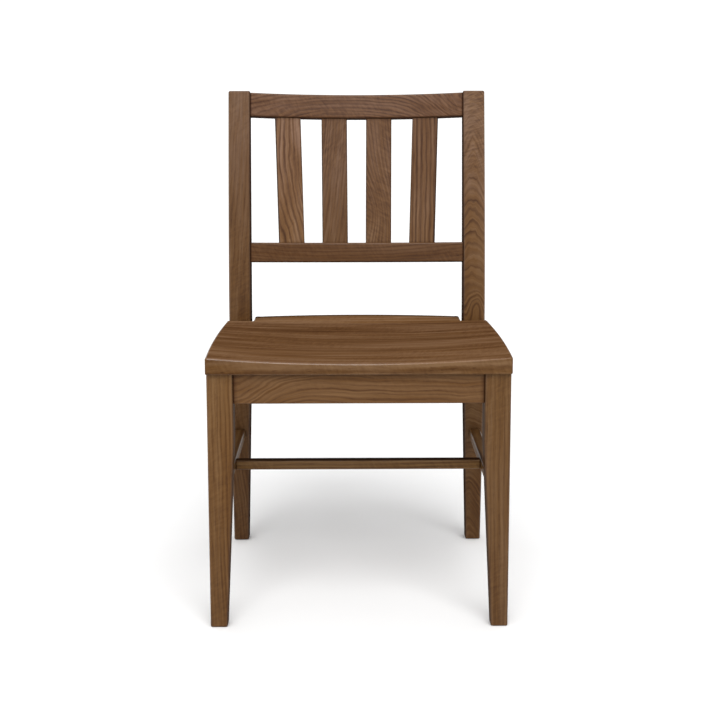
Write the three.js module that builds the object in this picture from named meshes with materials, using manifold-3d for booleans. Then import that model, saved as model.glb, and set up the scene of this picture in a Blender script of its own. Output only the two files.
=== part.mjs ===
// Slat-back dining chair in solid wood, built as separate pieces joined by tenons, dowels and screws.
// Millimetres. X runs across the chair, Y from its front to its back, and Z up from the floor.
// While the pieces are made, Y = 0 is the front face of the front legs. The finished chair is then
// moved along Y, so that the origin is the middle of the floor rectangle that it covers.

import * as THREE from 'three';
import { mergeVertices } from 'three/addons/utils/BufferGeometryUtils.js';
import Module from 'manifold-3d';

const wasm = await Module();
wasm.setup();

// ---------- driving dimensions ----------

const gap = 0.3;                 // room between pieces that meet
const endRoom = 1;               // room past the end of a tenon or dowel
const edgeRound = 3;             // rounding of the long edges
const footEase = [[0, 2], [0.6, 0.6], [2, 0]];   // height above the floor, and how far the foot is drawn in
const topEase = [[3, 0], [0.9, 0.9], [0, 3]];    // the same below the top of a post
const roundSides = 12;           // sides of a dowel, a screw and their holes
const weld = 1e-4;               // corners nearer than this are one
const slatRound = 2;             // rounding of the slats' edges

const height = 867.4;            // top of the posts
const seatUnder = 422;           // underside of the seat
const frameTop = seatUnder - gap;
const apronBottom = 373.2;
const apronThick = 20;
const apronSetback = 2.5;        // the aprons lie this far behind the legs' outer faces

const frontLeg = { outer: 243.4, size: 42.2, foot: 27.8, taperFrom: 310 };

const post = { inner: 198, outer: 238.5, footInner: 212, footOuter: 240.7, taperFrom: 400, flareFrom: 444 };
const seatLevel = 400;           // height at which the post's place is fixed
const postSeatFront = 406.3;     // front face of the posts there
const postDepth = { foot: 30, seat: 46, top: 25, deepestAt: 415, runsOutAbove: 41.5 };
// Backward slope of the post's front face, as height and slope, straight between these heights:
// the raked leg, the upright stretch that the side aprons meet, and the back that leans more and more.
const postSlope = [[0, -0.1854], [330, -0.1854], [370, 0], [430, 0], [500, 0.1136], [height, 0.2272]];

const railBow = 22;              // how far the middle of a back rail lies behind its ends
const railInset = 2;             // the rails' ends lie this far behind the posts' front faces
const railThick = 20;
const railPieces = 16;           // straight stretches that a curved rail is drawn with
const crest = { middle: 842.9, tall: 44.6 };
const lowerRail = { middle: 571.2, tall: 36.8 };
const railTenon = { long: 20, thick: 9, shoulder: 6, root: 10 };   // root: how far it starts inside the rail

const slat = { wide: 47.7, thick: 12, housed: 12, bottom: [40.7, 122], top: [42, 129] };

const seat = {
  front: -8.4, frontTop: 450, rearTop: 445, scoop: 10, scoopFadesFrom: 260,
  halfMax: 247.6, widestAt: 172, sideCurve: 1.0e-4, cornerRound: 4,
  tongueHalf: 193.5, tongueRear: 456, tongueRound: 6,
  arcSteps: 4, sideSteps: 10, rearSteps: 8,       // points along each stretch of the outline
  blankTall: 60, rim: 20, topGrid: [22, 18],      // the board before its hollow is cut
};

const stretcher = { bottom: 215, top: 232, sideX: 223.5, sideHalf: 10, crossY: 200, crossHalf: 9 };
const stretcherTenon = { long: 14, crossLong: 10, half: 5, root: 5 };
const stretcherRound = 2.5;
const apronRound = 1;

const dowel = { radius: 5, half: 18, heights: [386, 410], bevel: 1.2 };
const cornerBlock = { tall: 30, web: 22.6, screwWeb: 25, screwSeat: 12 };
const screw = { shank: 2, head: 4, headTall: 2.6, headBevel: 1, tip: 3, hole: 2.5, sink: 5, sinkDeep: 40 };
const apronScrewLong = 26;
const seatScrewLong = 42;

// ---------- looks ----------

const frameWood = { color: 0x7a5a3f, roughness: 0.5, metalness: 0 };
const seatWood = { color: 0x70513a, roughness: 0.45, metalness: 0 };
const plainWood = { color: 0xb99a72, roughness: 0.7, metalness: 0 };
const zincSteel = { color: 0xb9bab4, roughness: 0.35, metalness: 0.9 };

// ---------- helpers ----------

const acrossX = new THREE.Vector3(1, 0, 0);
const alongY = new THREE.Vector3(0, 1, 0);
const upZ = new THREE.Vector3(0, 0, 1);
const point = (x, y, z) => new THREE.Vector3(x, y, z);
const clamp = (value, low, high) => Math.min(high, Math.max(low, value));
const mix = (from, to, share) => from + (to - from) * share;

const chair = new THREE.Group();

function addPiece(name, geometry, look) {
  const mesh = new THREE.Mesh(geometry, new THREE.MeshStandardMaterial(look));
  mesh.name = name;
  chair.add(mesh);
}

function toSolid(geometry) {
  const bare = geometry.clone();
  bare.deleteAttribute('normal');
  bare.deleteAttribute('uv');
  const merged = mergeVertices(bare, weld);
  return new wasm.Manifold(new wasm.Mesh({
    numProp: 3,
    vertProperties: new Float32Array(merged.attributes.position.array),
    triVerts: new Uint32Array(merged.index.array),
  }));
}

function toGeometry(solid) {
  const mesh = solid.getMesh();
  const geometry = new THREE.BufferGeometry();
  geometry.setAttribute('position', new THREE.BufferAttribute(new Float32Array(mesh.vertProperties), 3));
  geometry.setIndex(new THREE.BufferAttribute(new Uint32Array(mesh.triVerts), 1));
  geometry.computeVertexNormals();
  return geometry;
}

// Adds the tenons to a bar and cuts the holes out of it.
function join(geometry, added, cuts) {
  let solid = toSolid(geometry);
  for (const extra of added) solid = solid.add(toSolid(extra));
  for (const cut of cuts) solid = solid.subtract(toSolid(cut));
  return toGeometry(solid);
}

// A bar with rounded long edges, carried through stations. Each station has the middle of the section,
// the directions of its width and depth, and half of each. Width x depth points along the bar.
function bar(stations, round = edgeRound) {
  const outline = new THREE.Shape();
  for (let quarter = 0; quarter < 4; quarter += 1) {
    const start = quarter * Math.PI / 2;
    const middle = start + Math.PI / 4;
    const centre = [Math.sign(Math.cos(middle)) * round, Math.sign(Math.sin(middle)) * round];
    outline.absarc(centre[0], centre[1], round, start, start + Math.PI / 2);
  }
  const steps = stations.length - 1;
  const drawn = { depth: 1, steps, bevelEnabled: false, curveSegments: 1 };
  const geometry = new THREE.ExtrudeGeometry(outline, drawn);
  const places = geometry.attributes.position;
  for (let i = 0; i < places.count; i += 1) {
    const station = stations[Math.round(places.getZ(i) * steps)];
    const across = places.getX(i);
    const deep = places.getY(i);
    // The corner arcs keep their radius, and move out to the corners of this station's section.
    const moved = station.at.clone()
      .addScaledVector(station.width, Math.sign(across) * (station.halfWidth - 2 * round + Math.abs(across)))
      .addScaledVector(station.depth, Math.sign(deep) * (station.halfDepth - 2 * round + Math.abs(deep)));
    places.setXYZ(i, moved.x, moved.y, moved.z);
  }
  geometry.computeVertexNormals();
  return geometry;
}

// Box from one corner to the other.
function box(low, high) {
  const geometry = new THREE.BoxGeometry(high[0] - low[0], high[1] - low[1], high[2] - low[2]);
  return geometry.translate((low[0] + high[0]) / 2, (low[1] + high[1]) / 2, (low[2] + high[2]) / 2);
}

// Turns a geometry made along +Y, so that it starts at a point and runs in a direction.
function aim(geometry, start, direction) {
  const turn = new THREE.Quaternion().setFromUnitVectors(alongY, direction.clone().normalize());
  return geometry.applyQuaternion(turn).translate(start.x, start.y, start.z);
}

function hole(start, direction, radius, long) {
  const cylinder = new THREE.CylinderGeometry(radius, radius, long, roundSides).translate(0, long / 2, 0);
  return aim(cylinder, start, direction);
}

function turned(profile, start, direction) {
  const outline = profile.map(([radius, along]) => new THREE.Vector2(radius, along));
  return aim(new THREE.LatheGeometry(outline, roundSides), start, direction);
}

// ---------- front legs ----------

const frontTaper = (z) => clamp((frontLeg.taperFrom - z) / frontLeg.taperFrom, 0, 1);
const frontLegSize = (z) => mix(frontLeg.size, frontLeg.foot, frontTaper(z));

function frontLegStation(side, z, trim) {
  const half = frontLegSize(z) / 2;
  return {
    at: point(side * (frontLeg.outer - half), half, z),
    width: acrossX, depth: alongY, halfWidth: half - trim, halfDepth: half - trim,
  };
}

function frontLegBar(side) {
  return bar([
    ...footEase.map(([z, trim]) => frontLegStation(side, z, trim)),
    frontLegStation(side, frontLeg.taperFrom, 0), frontLegStation(side, frameTop, 0),
  ]);
}

// ---------- rear posts ----------

function slopeAt(z) {
  const next = Math.max(1, postSlope.findIndex(([level]) => level >= z));
  const [lowZ, lowSlope] = postSlope[next - 1];
  const [highZ, highSlope] = postSlope[next];
  return mix(lowSlope, highSlope, (z - lowZ) / (highZ - lowZ));
}

// Front face of the post: the slope added up from the seat, trapezium by trapezium.
function postFront(z) {
  let y = postSeatFront;
  const [from, to] = z > seatLevel ? [seatLevel, z] : [z, seatLevel];
  const bends = postSlope.map(([level]) => level).filter((level) => level > from && level < to);
  const levels = [from, ...bends, to];
  for (let i = 1; i < levels.length; i += 1) {
    const step = (levels[i] - levels[i - 1]) * (slopeAt(levels[i]) + slopeAt(levels[i - 1])) / 2;
    y += z > seatLevel ? step : -step;
  }
  return y;
}

// Depth swells along a quarter wave from the foot to the seat, and dies away to the top.
function postDepthAt(z) {
  const { foot, seat: deepest, top, deepestAt, runsOutAbove } = postDepth;
  if (z < deepestAt) return mix(foot, deepest, Math.sin(Math.PI / 2 * z / deepestAt));
  return mix(top, deepest, Math.cos(Math.PI / 2 * (z - deepestAt) / (height + runsOutAbove - deepestAt)));
}

function postStation(side, z, trim = 0) {
  const inner = mix(post.inner, post.footInner, clamp((post.taperFrom - z) / post.taperFrom, 0, 1));
  const outer = mix(post.outer, post.footOuter, clamp((post.flareFrom - z) / post.flareFrom, 0, 1));
  // The sections are level up to the seat and tip back to lie square across the top.
  const tip = Math.atan(slopeAt(height)) * clamp((z - post.flareFrom) / (height - post.flareFrom), 0, 1);
  const depth = point(0, Math.cos(tip), -Math.sin(tip));
  const half = postDepthAt(z) / 2;
  return {
    at: point(side * (inner + outer) / 2, postFront(z), z).addScaledVector(depth, half),
    width: acrossX, depth, halfWidth: (outer - inner) / 2 - trim, halfDepth: half - trim,
  };
}

// Heights at which the post's curve is drawn: close together where it bends.
const postLevels = [
  100, 200, 330, 345, 358, 370, 400, 430, 448, 466, 484, 500, 545, 590, 635, 680, 725, 770, 815,
];

function postBar(side) {
  return bar([
    ...footEase.map(([z, trim]) => postStation(side, z, trim)),
    ...postLevels.map((z) => postStation(side, z)),
    ...topEase.map(([below, trim]) => postStation(side, height - below, trim)),
  ]);
}

// ---------- back rails and slats ----------

// The plane that a rail lies in: tangent to the posts' front faces at the rail's middle height.
function backPlane(z) {
  const lean = Math.atan(slopeAt(z));
  return {
    at: point(0, postFront(z), z),
    back: point(0, Math.cos(lean), -Math.sin(lean)),
    up: point(0, Math.sin(lean), Math.cos(lean)),
  };
}

const railRadius = (post.inner ** 2 + railBow ** 2) / (2 * railBow);
const railArc = (x) => Math.sqrt(railRadius ** 2 - x ** 2) - Math.sqrt(railRadius ** 2 - post.inner ** 2);

// Point in the middle of a rail's thickness.
function inRail(rail, x, upward = 0) {
  const plane = backPlane(rail.middle);
  return plane.at.clone()
    .addScaledVector(acrossX, x)
    .addScaledVector(plane.back, railInset + railThick / 2 + railArc(x))
    .addScaledVector(plane.up, upward);
}

function railBar(rail) {
  const plane = backPlane(rail.middle);
  const half = post.inner - gap;
  const stations = [];
  for (let i = 0; i <= railPieces; i += 1) {
    const x = mix(-half, half, i / railPieces);
    stations.push({
      at: inRail(rail, x), width: plane.back, depth: plane.up,
      halfWidth: railThick / 2, halfDepth: rail.tall / 2,
    });
  }
  return bar(stations);
}

function railTenonBox(rail, side, room) {
  const plane = backPlane(rail.middle);
  const start = post.inner - railTenon.root;
  const end = post.inner + railTenon.long + (room ? endRoom : 0);
  const tall = rail.tall - 2 * railTenon.shoulder + 2 * room;
  const geometry = new THREE.BoxGeometry(end - start, railTenon.thick + 2 * room, tall);
  const centre = inRail(rail, post.inner - railTenon.root / 2);
  geometry.applyMatrix4(new THREE.Matrix4().makeBasis(acrossX, plane.back, plane.up));
  return geometry.translate(side * (start + end) / 2, centre.y, centre.z);
}

// A slat runs between the two rails, its ends housed in mortises of its own section.
function slatBar(index, side, room) {
  const bottom = inRail(lowerRail, side * slat.bottom[index], lowerRail.tall / 2);
  const top = inRail(crest, side * slat.top[index], -crest.tall / 2);
  const travel = top.clone().sub(bottom).normalize();
  const middle = side * (slat.bottom[index] + slat.top[index]) / 2;
  const tangent = point(1, -middle / Math.sqrt(railRadius ** 2 - middle ** 2), 0).normalize();
  const depth = travel.clone().cross(tangent).normalize();
  const width = depth.clone().cross(travel);
  const reach = slat.housed + (room ? endRoom : 0);
  const section = { width, depth, halfWidth: slat.wide / 2 + room, halfDepth: slat.thick / 2 + room };
  return bar([
    { at: bottom.addScaledVector(travel, -reach), ...section },
    { at: top.addScaledVector(travel, reach), ...section },
  ], slatRound);
}

// ---------- seat ----------

const seatHalf = (y) => seat.halfMax - seat.sideCurve * (y - seat.widestAt) ** 2;
const seatRear = (x) => seat.tongueRear + railBow * (1 - (x / seat.tongueHalf) ** 2);
const seatEar = postSeatFront - gap;

// Top of the seat: a side-to-side hollow that runs out at the front edge and fades towards the back.
function seatTop(x, y) {
  const edge = mix(seat.frontTop, seat.rearTop, clamp((y - seat.front) / (seatEar - seat.front), 0, 1));
  const back = seat.tongueRear + railBow;
  const faded = clamp((y - seat.scoopFadesFrom) / (back - seat.scoopFadesFrom), 0, 1);
  const fade = Math.cos(Math.PI / 2 * faded) ** 2;
  return edge - seat.scoop * fade * clamp(1 - (x / seatHalf(y)) ** 2, 0, 1);
}

function seatBoard(cuts) {
  const half = [];
  for (let i = 0; i <= seat.arcSteps; i += 1) {
    const turn = Math.PI / 2 * i / seat.arcSteps;
    const r = seat.cornerRound;
    half.push([seatHalf(seat.front + r) - r + r * Math.sin(turn), seat.front + r - r * Math.cos(turn)]);
  }
  for (let i = 1; i <= seat.sideSteps; i += 1) {
    const y = mix(seat.front + seat.cornerRound, seatEar, i / seat.sideSteps);
    half.push([seatHalf(y), y]);
  }
  half.push([seat.tongueHalf, seatEar]);
  for (let i = 0; i <= seat.arcSteps; i += 1) {
    const turn = Math.PI / 2 * i / seat.arcSteps;
    const r = seat.tongueRound;
    half.push([seat.tongueHalf - r + r * Math.cos(turn), seat.tongueRear - r / 2 + r * Math.sin(turn)]);
  }
  for (let i = 1; i < seat.rearSteps; i += 1) {
    const x = (seat.tongueHalf - seat.tongueRound) * (1 - i / seat.rearSteps);
    half.push([x, seatRear(x)]);
  }
  half.push([0, seatRear(0)]);
  const mirrored = half.slice(0, -1).reverse().map(([x, y]) => [-x, y]);
  const outline = new THREE.Shape([...half, ...mirrored].map(([x, y]) => new THREE.Vector2(x, y)));
  const board = new THREE.ExtrudeGeometry(outline, { depth: seat.blankTall, bevelEnabled: false });
  board.translate(0, 0, seatUnder);

  // A block whose top is the hollowed surface, larger than the outline all round.
  const { rim } = seat;
  const low = [-seat.halfMax - rim, seat.front - rim];
  const size = [2 * (seat.halfMax + rim), seatRear(0) - seat.front + 2 * rim];
  const blank = new THREE.BoxGeometry(size[0], size[1], 1, ...seat.topGrid, 1);
  const places = blank.attributes.position;
  for (let i = 0; i < places.count; i += 1) {
    const x = places.getX(i) + low[0] + size[0] / 2;
    const y = places.getY(i) + low[1] + size[1] / 2;
    places.setXYZ(i, x, y, places.getZ(i) > 0 ? seatTop(x, y) : seatUnder - 1);
  }
  let solid = toSolid(board).intersect(toSolid(blank));
  for (const cut of cuts) solid = solid.subtract(toSolid(cut));
  return toGeometry(solid);
}

// ---------- aprons, stretchers and their joints ----------

const sideApronX = frontLeg.outer - apronSetback - apronThick / 2;
const frontApronY = apronSetback + apronThick / 2;
const rearApronY = postSeatFront + postDepthAt(seatLevel) - apronSetback - apronThick / 2;

// Where each pair of dowels sits: the face between the two pieces, and which way the dowels run.
const dowelJoints = [];
for (const [sideName, side] of [['left', -1], ['right', 1]]) {
  const frontInner = side * (frontLeg.outer - frontLeg.size);
  dowelJoints.push(
    { name: `front_apron_${sideName}`, pieces: ['front_apron', `front_leg_${sideName}`], side,
      x: frontInner, y: frontApronY, along: acrossX },
    { name: `rear_apron_${sideName}`, pieces: ['rear_apron', `rear_post_${sideName}`], side,
      x: side * post.inner, y: rearApronY, along: acrossX },
    { name: `side_apron_${sideName}_front`, pieces: [`side_apron_${sideName}`, `front_leg_${sideName}`], side,
      x: side * sideApronX, y: frontLeg.size, along: alongY },
    { name: `side_apron_${sideName}_rear`, pieces: [`side_apron_${sideName}`, `rear_post_${sideName}`], side,
      x: side * sideApronX, y: postSeatFront, along: alongY },
  );
}

function dowelStart(joint, z, half) {
  return point(joint.x, joint.y, z).addScaledVector(joint.along, -half);
}

function dowelHoles(piece) {
  const holes = [];
  for (const joint of dowelJoints.filter(({ pieces }) => pieces.includes(piece))) {
    for (const z of dowel.heights) {
      const half = dowel.half + endRoom;
      holes.push(hole(dowelStart(joint, z, half), joint.along, dowel.radius + gap, 2 * half));
    }
  }
  return holes;
}

// Corner blocks fill the corners inside the aprons and are notched round the legs. Their plan is drawn
// with u inward from the side apron's face and v inward from the front or rear apron's face.
const corners = [];
for (const [sideName, side] of [['left', -1], ['right', 1]]) {
  const faceX = sideApronX - apronThick / 2;
  corners.push(
    { name: `front_${sideName}`, side, inward: 1, faceX, faceY: frontApronY + apronThick / 2,
      notchU: faceX - (frontLeg.outer - frontLeg.size), notchV: frontLeg.size - frontApronY - apronThick / 2,
      crossApron: 'front_apron', sideApron: `side_apron_${sideName}` },
    { name: `rear_${sideName}`, side, inward: -1, faceX, faceY: rearApronY - apronThick / 2,
      notchU: faceX - post.inner, notchV: rearApronY - apronThick / 2 - postSeatFront,
      crossApron: 'rear_apron', sideApron: `side_apron_${sideName}` },
  );
}
for (const corner of corners) {
  corner.reach = corner.notchU + corner.notchV + cornerBlock.web * Math.SQRT2;
  corner.place = (u, v, z) => point(corner.side * (corner.faceX - u), corner.faceY + corner.inward * v, z);
  corner.toCross = point(0, -corner.inward, 0);
  corner.toSide = point(corner.side, 0, 0);
  const away = corner.reach - cornerBlock.screwWeb;
  const z = frameTop - cornerBlock.tall / 2;
  const bore = (corner.notchU + corner.notchV + corner.reach) / 4;
  corner.screws = [
    { name: 'cross', at: corner.place(away, cornerBlock.screwSeat, z), direction: corner.toCross,
      long: apronScrewLong, into: corner.crossApron },
    { name: 'side', at: corner.place(cornerBlock.screwSeat, away, z), direction: corner.toSide,
      long: apronScrewLong, into: corner.sideApron },
    { name: 'seat', at: corner.place(bore, bore, frameTop - cornerBlock.tall), direction: upZ,
      long: seatScrewLong, into: 'seat' },
  ];
}

// A screw's hole runs from under its head to a little past its tip.
function screwHole({ at, direction, long }) {
  return hole(at.clone().addScaledVector(direction, -endRoom), direction, screw.hole, long + 2 * endRoom);
}

// Room for the head of a screw that is sunk below the face of its block.
function headHole({ at, direction }) {
  return hole(at.clone().addScaledVector(direction, -screw.sinkDeep), direction, screw.sink, screw.sinkDeep);
}

function screwHolesInto(piece) {
  return corners.flatMap(({ screws }) => screws.filter(({ into }) => into === piece).map(screwHole));
}

function blockPrism(corner) {
  const { notchU, notchV, reach } = corner;
  const inside = [notchU + gap, notchV + gap];
  const plan = [[notchU + gap, gap], [reach, gap], [gap, reach], [gap, notchV + gap], inside];
  const outline = new THREE.Shape(plan.map(([u, v]) => {
    const at = corner.place(u, v, 0);
    return new THREE.Vector2(at.x, at.y);
  }));
  const prism = new THREE.ExtrudeGeometry(outline, { depth: cornerBlock.tall, bevelEnabled: false });
  return prism.translate(0, 0, frameTop - cornerBlock.tall);
}

// Side stretchers: the ends are cut to the slopes of the two legs' faces.
const stretcherMiddle = (stretcher.bottom + stretcher.top) / 2;
const stretcherHalf = (stretcher.top - stretcher.bottom) / 2;
const legBackSlope = (frontLeg.size - frontLeg.foot) / frontLeg.taperFrom;
const stretcherStart = frontLegSize(stretcherMiddle) + gap;
const stretcherEnd = postFront(stretcherMiddle) - gap;

function sideStretcherBar(side) {
  const section = { depth: acrossX, halfWidth: stretcherHalf, halfDepth: stretcher.sideHalf };
  const x = side * stretcher.sideX;
  const postSlopeThere = slopeAt(stretcherMiddle);
  return bar([
    { at: point(x, stretcherStart, stretcherMiddle), width: point(0, legBackSlope, 1), ...section },
    { at: point(x, stretcherEnd, stretcherMiddle), width: point(0, postSlopeThere, 1), ...section },
  ], stretcherRound);
}

function crossStretcherBar() {
  const half = stretcher.sideX - stretcher.sideHalf - gap;
  const section = { width: alongY, depth: upZ, halfWidth: stretcher.crossHalf, halfDepth: stretcherHalf };
  const ends = [-half, half].map((x) => ({ at: point(x, stretcher.crossY, stretcherMiddle), ...section }));
  return bar(ends, stretcherRound);
}

function sideTenon(side, end, room) {
  const half = stretcherTenon.half + room;
  const long = stretcherTenon.long + (room ? endRoom : 0);
  const { root } = stretcherTenon;
  const [from, to] = end === 'front'
    ? [stretcherStart - long, stretcherStart + root]
    : [stretcherEnd - root, stretcherEnd + long];
  return box([side * stretcher.sideX - half, from, stretcherMiddle - half],
    [side * stretcher.sideX + half, to, stretcherMiddle + half]);
}

function crossTenon(side, room) {
  const half = stretcherTenon.half + room;
  const face = stretcher.sideX - stretcher.sideHalf;
  const tip = face + stretcherTenon.crossLong + (room ? endRoom : 0);
  const ends = [side * (face - stretcherTenon.root), side * tip].sort((a, b) => a - b);
  return box([ends[0], stretcher.crossY - half, stretcherMiddle - half],
    [ends[1], stretcher.crossY + half, stretcherMiddle + half]);
}

// ---------- the pieces ----------

const sides = [['left', -1], ['right', 1]];

for (const [sideName, side] of sides) {
  const legName = `front_leg_${sideName}`;
  const legCuts = [...dowelHoles(legName), sideTenon(side, 'front', gap)];
  addPiece(legName, join(frontLegBar(side), [], legCuts), frameWood);

  const postName = `rear_post_${sideName}`;
  const postCuts = [
    ...dowelHoles(postName), sideTenon(side, 'rear', gap),
    railTenonBox(crest, side, gap), railTenonBox(lowerRail, side, gap),
  ];
  addPiece(postName, join(postBar(side), [], postCuts), frameWood);
}

const slatMortises = [];
for (const [, side] of sides) {
  for (const index of [0, 1]) slatMortises.push(slatBar(index, side, gap));
}
for (const [name, rail] of [['crest_rail', crest], ['lower_back_rail', lowerRail]]) {
  const tenons = [railTenonBox(rail, -1, 0), railTenonBox(rail, 1, 0)];
  addPiece(name, join(railBar(rail), tenons, slatMortises), frameWood);
}
// Slats are numbered from the left.
[[1, -1], [0, -1], [0, 1], [1, 1]].forEach(([index, side], number) => {
  addPiece(`back_slat_${number + 1}`, slatBar(index, side, 0), frameWood);
});

addPiece('seat', seatBoard(screwHolesInto('seat')), seatWood);

const apronMiddle = (frameTop + apronBottom) / 2;
const apronHalf = (frameTop - apronBottom) / 2;

function crossApron(name, y, half) {
  const section = { width: alongY, depth: upZ, halfWidth: apronThick / 2, halfDepth: apronHalf };
  const board = bar([-half, half].map((x) => ({ at: point(x, y, apronMiddle), ...section })), apronRound);
  addPiece(name, join(board, [], [...dowelHoles(name), ...screwHolesInto(name)]), frameWood);
}
crossApron('front_apron', frontApronY, frontLeg.outer - frontLeg.size - gap);
crossApron('rear_apron', rearApronY, post.inner - gap);

for (const [sideName, side] of sides) {
  const name = `side_apron_${sideName}`;
  const section = { width: upZ, depth: acrossX, halfWidth: apronHalf, halfDepth: apronThick / 2 };
  const ends = [frontLeg.size + gap, postSeatFront - gap];
  const places = ends.map((y) => ({ at: point(side * sideApronX, y, apronMiddle), ...section }));
  const board = bar(places, apronRound);
  addPiece(name, join(board, [], [...dowelHoles(name), ...screwHolesInto(name)]), frameWood);

  const tenons = [sideTenon(side, 'front', 0), sideTenon(side, 'rear', 0)];
  const rung = join(sideStretcherBar(side), tenons, [crossTenon(side, gap)]);
  addPiece(`side_stretcher_${sideName}`, rung, frameWood);
}
addPiece('cross_stretcher', join(crossStretcherBar(), [crossTenon(-1, 0), crossTenon(1, 0)], []), frameWood);

for (const joint of dowelJoints) {
  dowel.heights.forEach((z, number) => {
    const { radius, bevel, half } = dowel;
    const profile = [[0, 0], [radius - bevel, 0], [radius, bevel], [radius, 2 * half - bevel],
      [radius - bevel, 2 * half], [0, 2 * half]];
    const level = number === 0 ? 'low' : 'high';
    const peg = turned(profile, dowelStart(joint, z, half), joint.along);
    addPiece(`dowel_${joint.name}_${level}`, peg, plainWood);
  });
}

for (const corner of corners) {
  const sunk = corner.screws.filter(({ into }) => into !== 'seat');
  const cuts = [...corner.screws.map(screwHole), ...sunk.map(headHole)];
  addPiece(`corner_block_${corner.name}`, join(blockPrism(corner), [], cuts), plainWood);
  for (const { name, at, direction, long } of corner.screws) {
    const start = at.clone().addScaledVector(direction, -gap);
    const { head, headTall, headBevel, shank, tip } = screw;
    const profile = [[0, -headTall], [head - headBevel, -headTall], [head, -headBevel], [head, 0],
      [shank, 0], [shank, long - tip], [0, long]];
    addPiece(`screw_${corner.name}_${name}`, turned(profile, start, direction), zincSteel);
  }
}

// ---------- place on the floor, centred ----------

const extent = new THREE.Box3().setFromObject(chair);
chair.position.y = -(extent.min.y + extent.max.y) / 2;
chair.updateMatrixWorld(true);

export default chair;
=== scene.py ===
import math
import bpy
import numpy as np
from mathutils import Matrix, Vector


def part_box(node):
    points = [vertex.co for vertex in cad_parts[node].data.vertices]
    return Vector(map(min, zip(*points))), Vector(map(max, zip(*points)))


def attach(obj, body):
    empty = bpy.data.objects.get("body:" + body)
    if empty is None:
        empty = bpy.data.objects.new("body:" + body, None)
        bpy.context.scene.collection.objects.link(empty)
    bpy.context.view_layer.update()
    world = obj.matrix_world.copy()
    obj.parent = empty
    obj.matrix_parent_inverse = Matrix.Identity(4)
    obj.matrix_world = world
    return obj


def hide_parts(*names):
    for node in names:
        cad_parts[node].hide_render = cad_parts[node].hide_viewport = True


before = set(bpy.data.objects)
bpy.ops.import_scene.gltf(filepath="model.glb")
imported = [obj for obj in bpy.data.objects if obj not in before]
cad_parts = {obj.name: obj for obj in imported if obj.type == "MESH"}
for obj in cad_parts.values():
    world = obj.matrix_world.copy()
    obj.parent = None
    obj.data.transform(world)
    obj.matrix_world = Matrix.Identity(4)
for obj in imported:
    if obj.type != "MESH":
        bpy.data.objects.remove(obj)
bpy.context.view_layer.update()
print("frame loaded:", len(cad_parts), "nodes")

# Slat-back dining chair in stained wood. Sizes are in millimetres and become metres when a mesh is made.
# Y = 0 is the front face of the front legs. The seat's front edge stands at seatFront, and the place of
# its CAD node gives moveY, which takes every Y to the frame's own place.
mm = 0.001
seatFront = -8.4
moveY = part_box("seat")[0].y / mm - seatFront


def mix(start, end, share):
    # the value that lies share of the way from start to end, for numbers, arrays and wires
    return start + (end - start) * share


def ramp(value, low, high):
    # share of the way from low to high, kept between 0 and 1
    return np.clip((value - low) / (high - low), 0.0, 1.0)


def vector(x, y, z):
    # stacks three numbers or arrays into points
    x, y, z = np.broadcast_arrays(np.asarray(x, float), np.asarray(y, float), np.asarray(z, float))
    return np.stack([x, y, z], -1)


def linear(red, green, blue):
    # a screen colour, 0 to 255, as the linear colour that a shader takes
    share = np.array([red, green, blue]) / 255
    value = np.where(share <= 0.04045, share / 12.92, ((share + 0.055) / 1.055) ** 2.4)
    return (*value.tolist(), 1.0)


# How finely the bars are made, and how their ends are closed.
barMesh = {
    "arcSteps": 7, "flatAt": (0.94, 0.5, 0.0, -0.5, -0.94),     # a corner's arc, and rows on each flat
    "endSteps": 5, "endRings": (0.2, 0.6, 0.95),    # an end's rounding, and rings as shares of its face
    "afterEase": 1.2,               # from an eased end to the next station
    "leastRound": 0.25, "mostRound": 0.9,   # limits of a corner: in millimetres, and of the half size
    "sideFalloff": 1.2,             # power by which a side's shade falls off round its corners
    # what a bar has if its own shape says nothing else: distance between stations, length of each end
    # that is darkened with painted shade, and how much painted shade the sides hold
    "spacing": 5.0, "nook": 0, "shaded": (0, 0, 0, 0),
}


def roundedLoop():
    # Anticlockwise loop of a rounded rectangle, as shares: corner circle's place (x, y), direction out of
    # it (x, y), and the edge share, which is 1 in the middle of a corner's arc and 0 on the flats.
    arc = np.linspace(0, np.pi / 2, barMesh["arcSteps"] + 1)
    flatAt = np.array(barMesh["flatAt"])
    signs = np.array([[1, 1], [-1, 1], [-1, -1], [1, -1]], float)
    parts = []
    for corner in range(4):
        here, there = signs[corner], signs[(corner + 1) % 4]
        angle = arc + corner * np.pi / 2
        circle = np.tile(here, (len(arc), 1))
        parts.append(np.column_stack([circle, np.cos(angle), np.sin(angle), np.sin(2 * arc)]))
        along = (1 - flatAt[:, None]) / 2
        flat = here + (there - here) * along
        out = np.tile([np.cos(angle[-1]), np.sin(angle[-1])], (len(flatAt), 1))
        parts.append(np.column_stack([flat, out, np.zeros(len(flatAt))]))
    return np.concatenate(parts)


def carry(loop, at, width, depth, halfWidth, halfDepth, edgeRound):
    # Carries the loop along a path: middle + width * (share * (half - round) + round * direction)
    # + depth * the same. Everything but the loop has one row for each station.
    shareX, shareY, outX, outY = loop[:, :4].T
    count = len(at)
    halfWidth = np.broadcast_to(halfWidth, count)[:, None]
    halfDepth = np.broadcast_to(halfDepth, count)[:, None]
    edgeRound = np.broadcast_to(edgeRound, count)[:, None]
    width = np.broadcast_to(width, (count, 3))[:, None]
    depth = np.broadcast_to(depth, (count, 3))[:, None]
    across = shareX * (halfWidth - edgeRound) + outX * edgeRound
    deep = shareY * (halfDepth - edgeRound) + outY * edgeRound
    return at[:, None] + across[..., None] * width + deep[..., None] * depth


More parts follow.
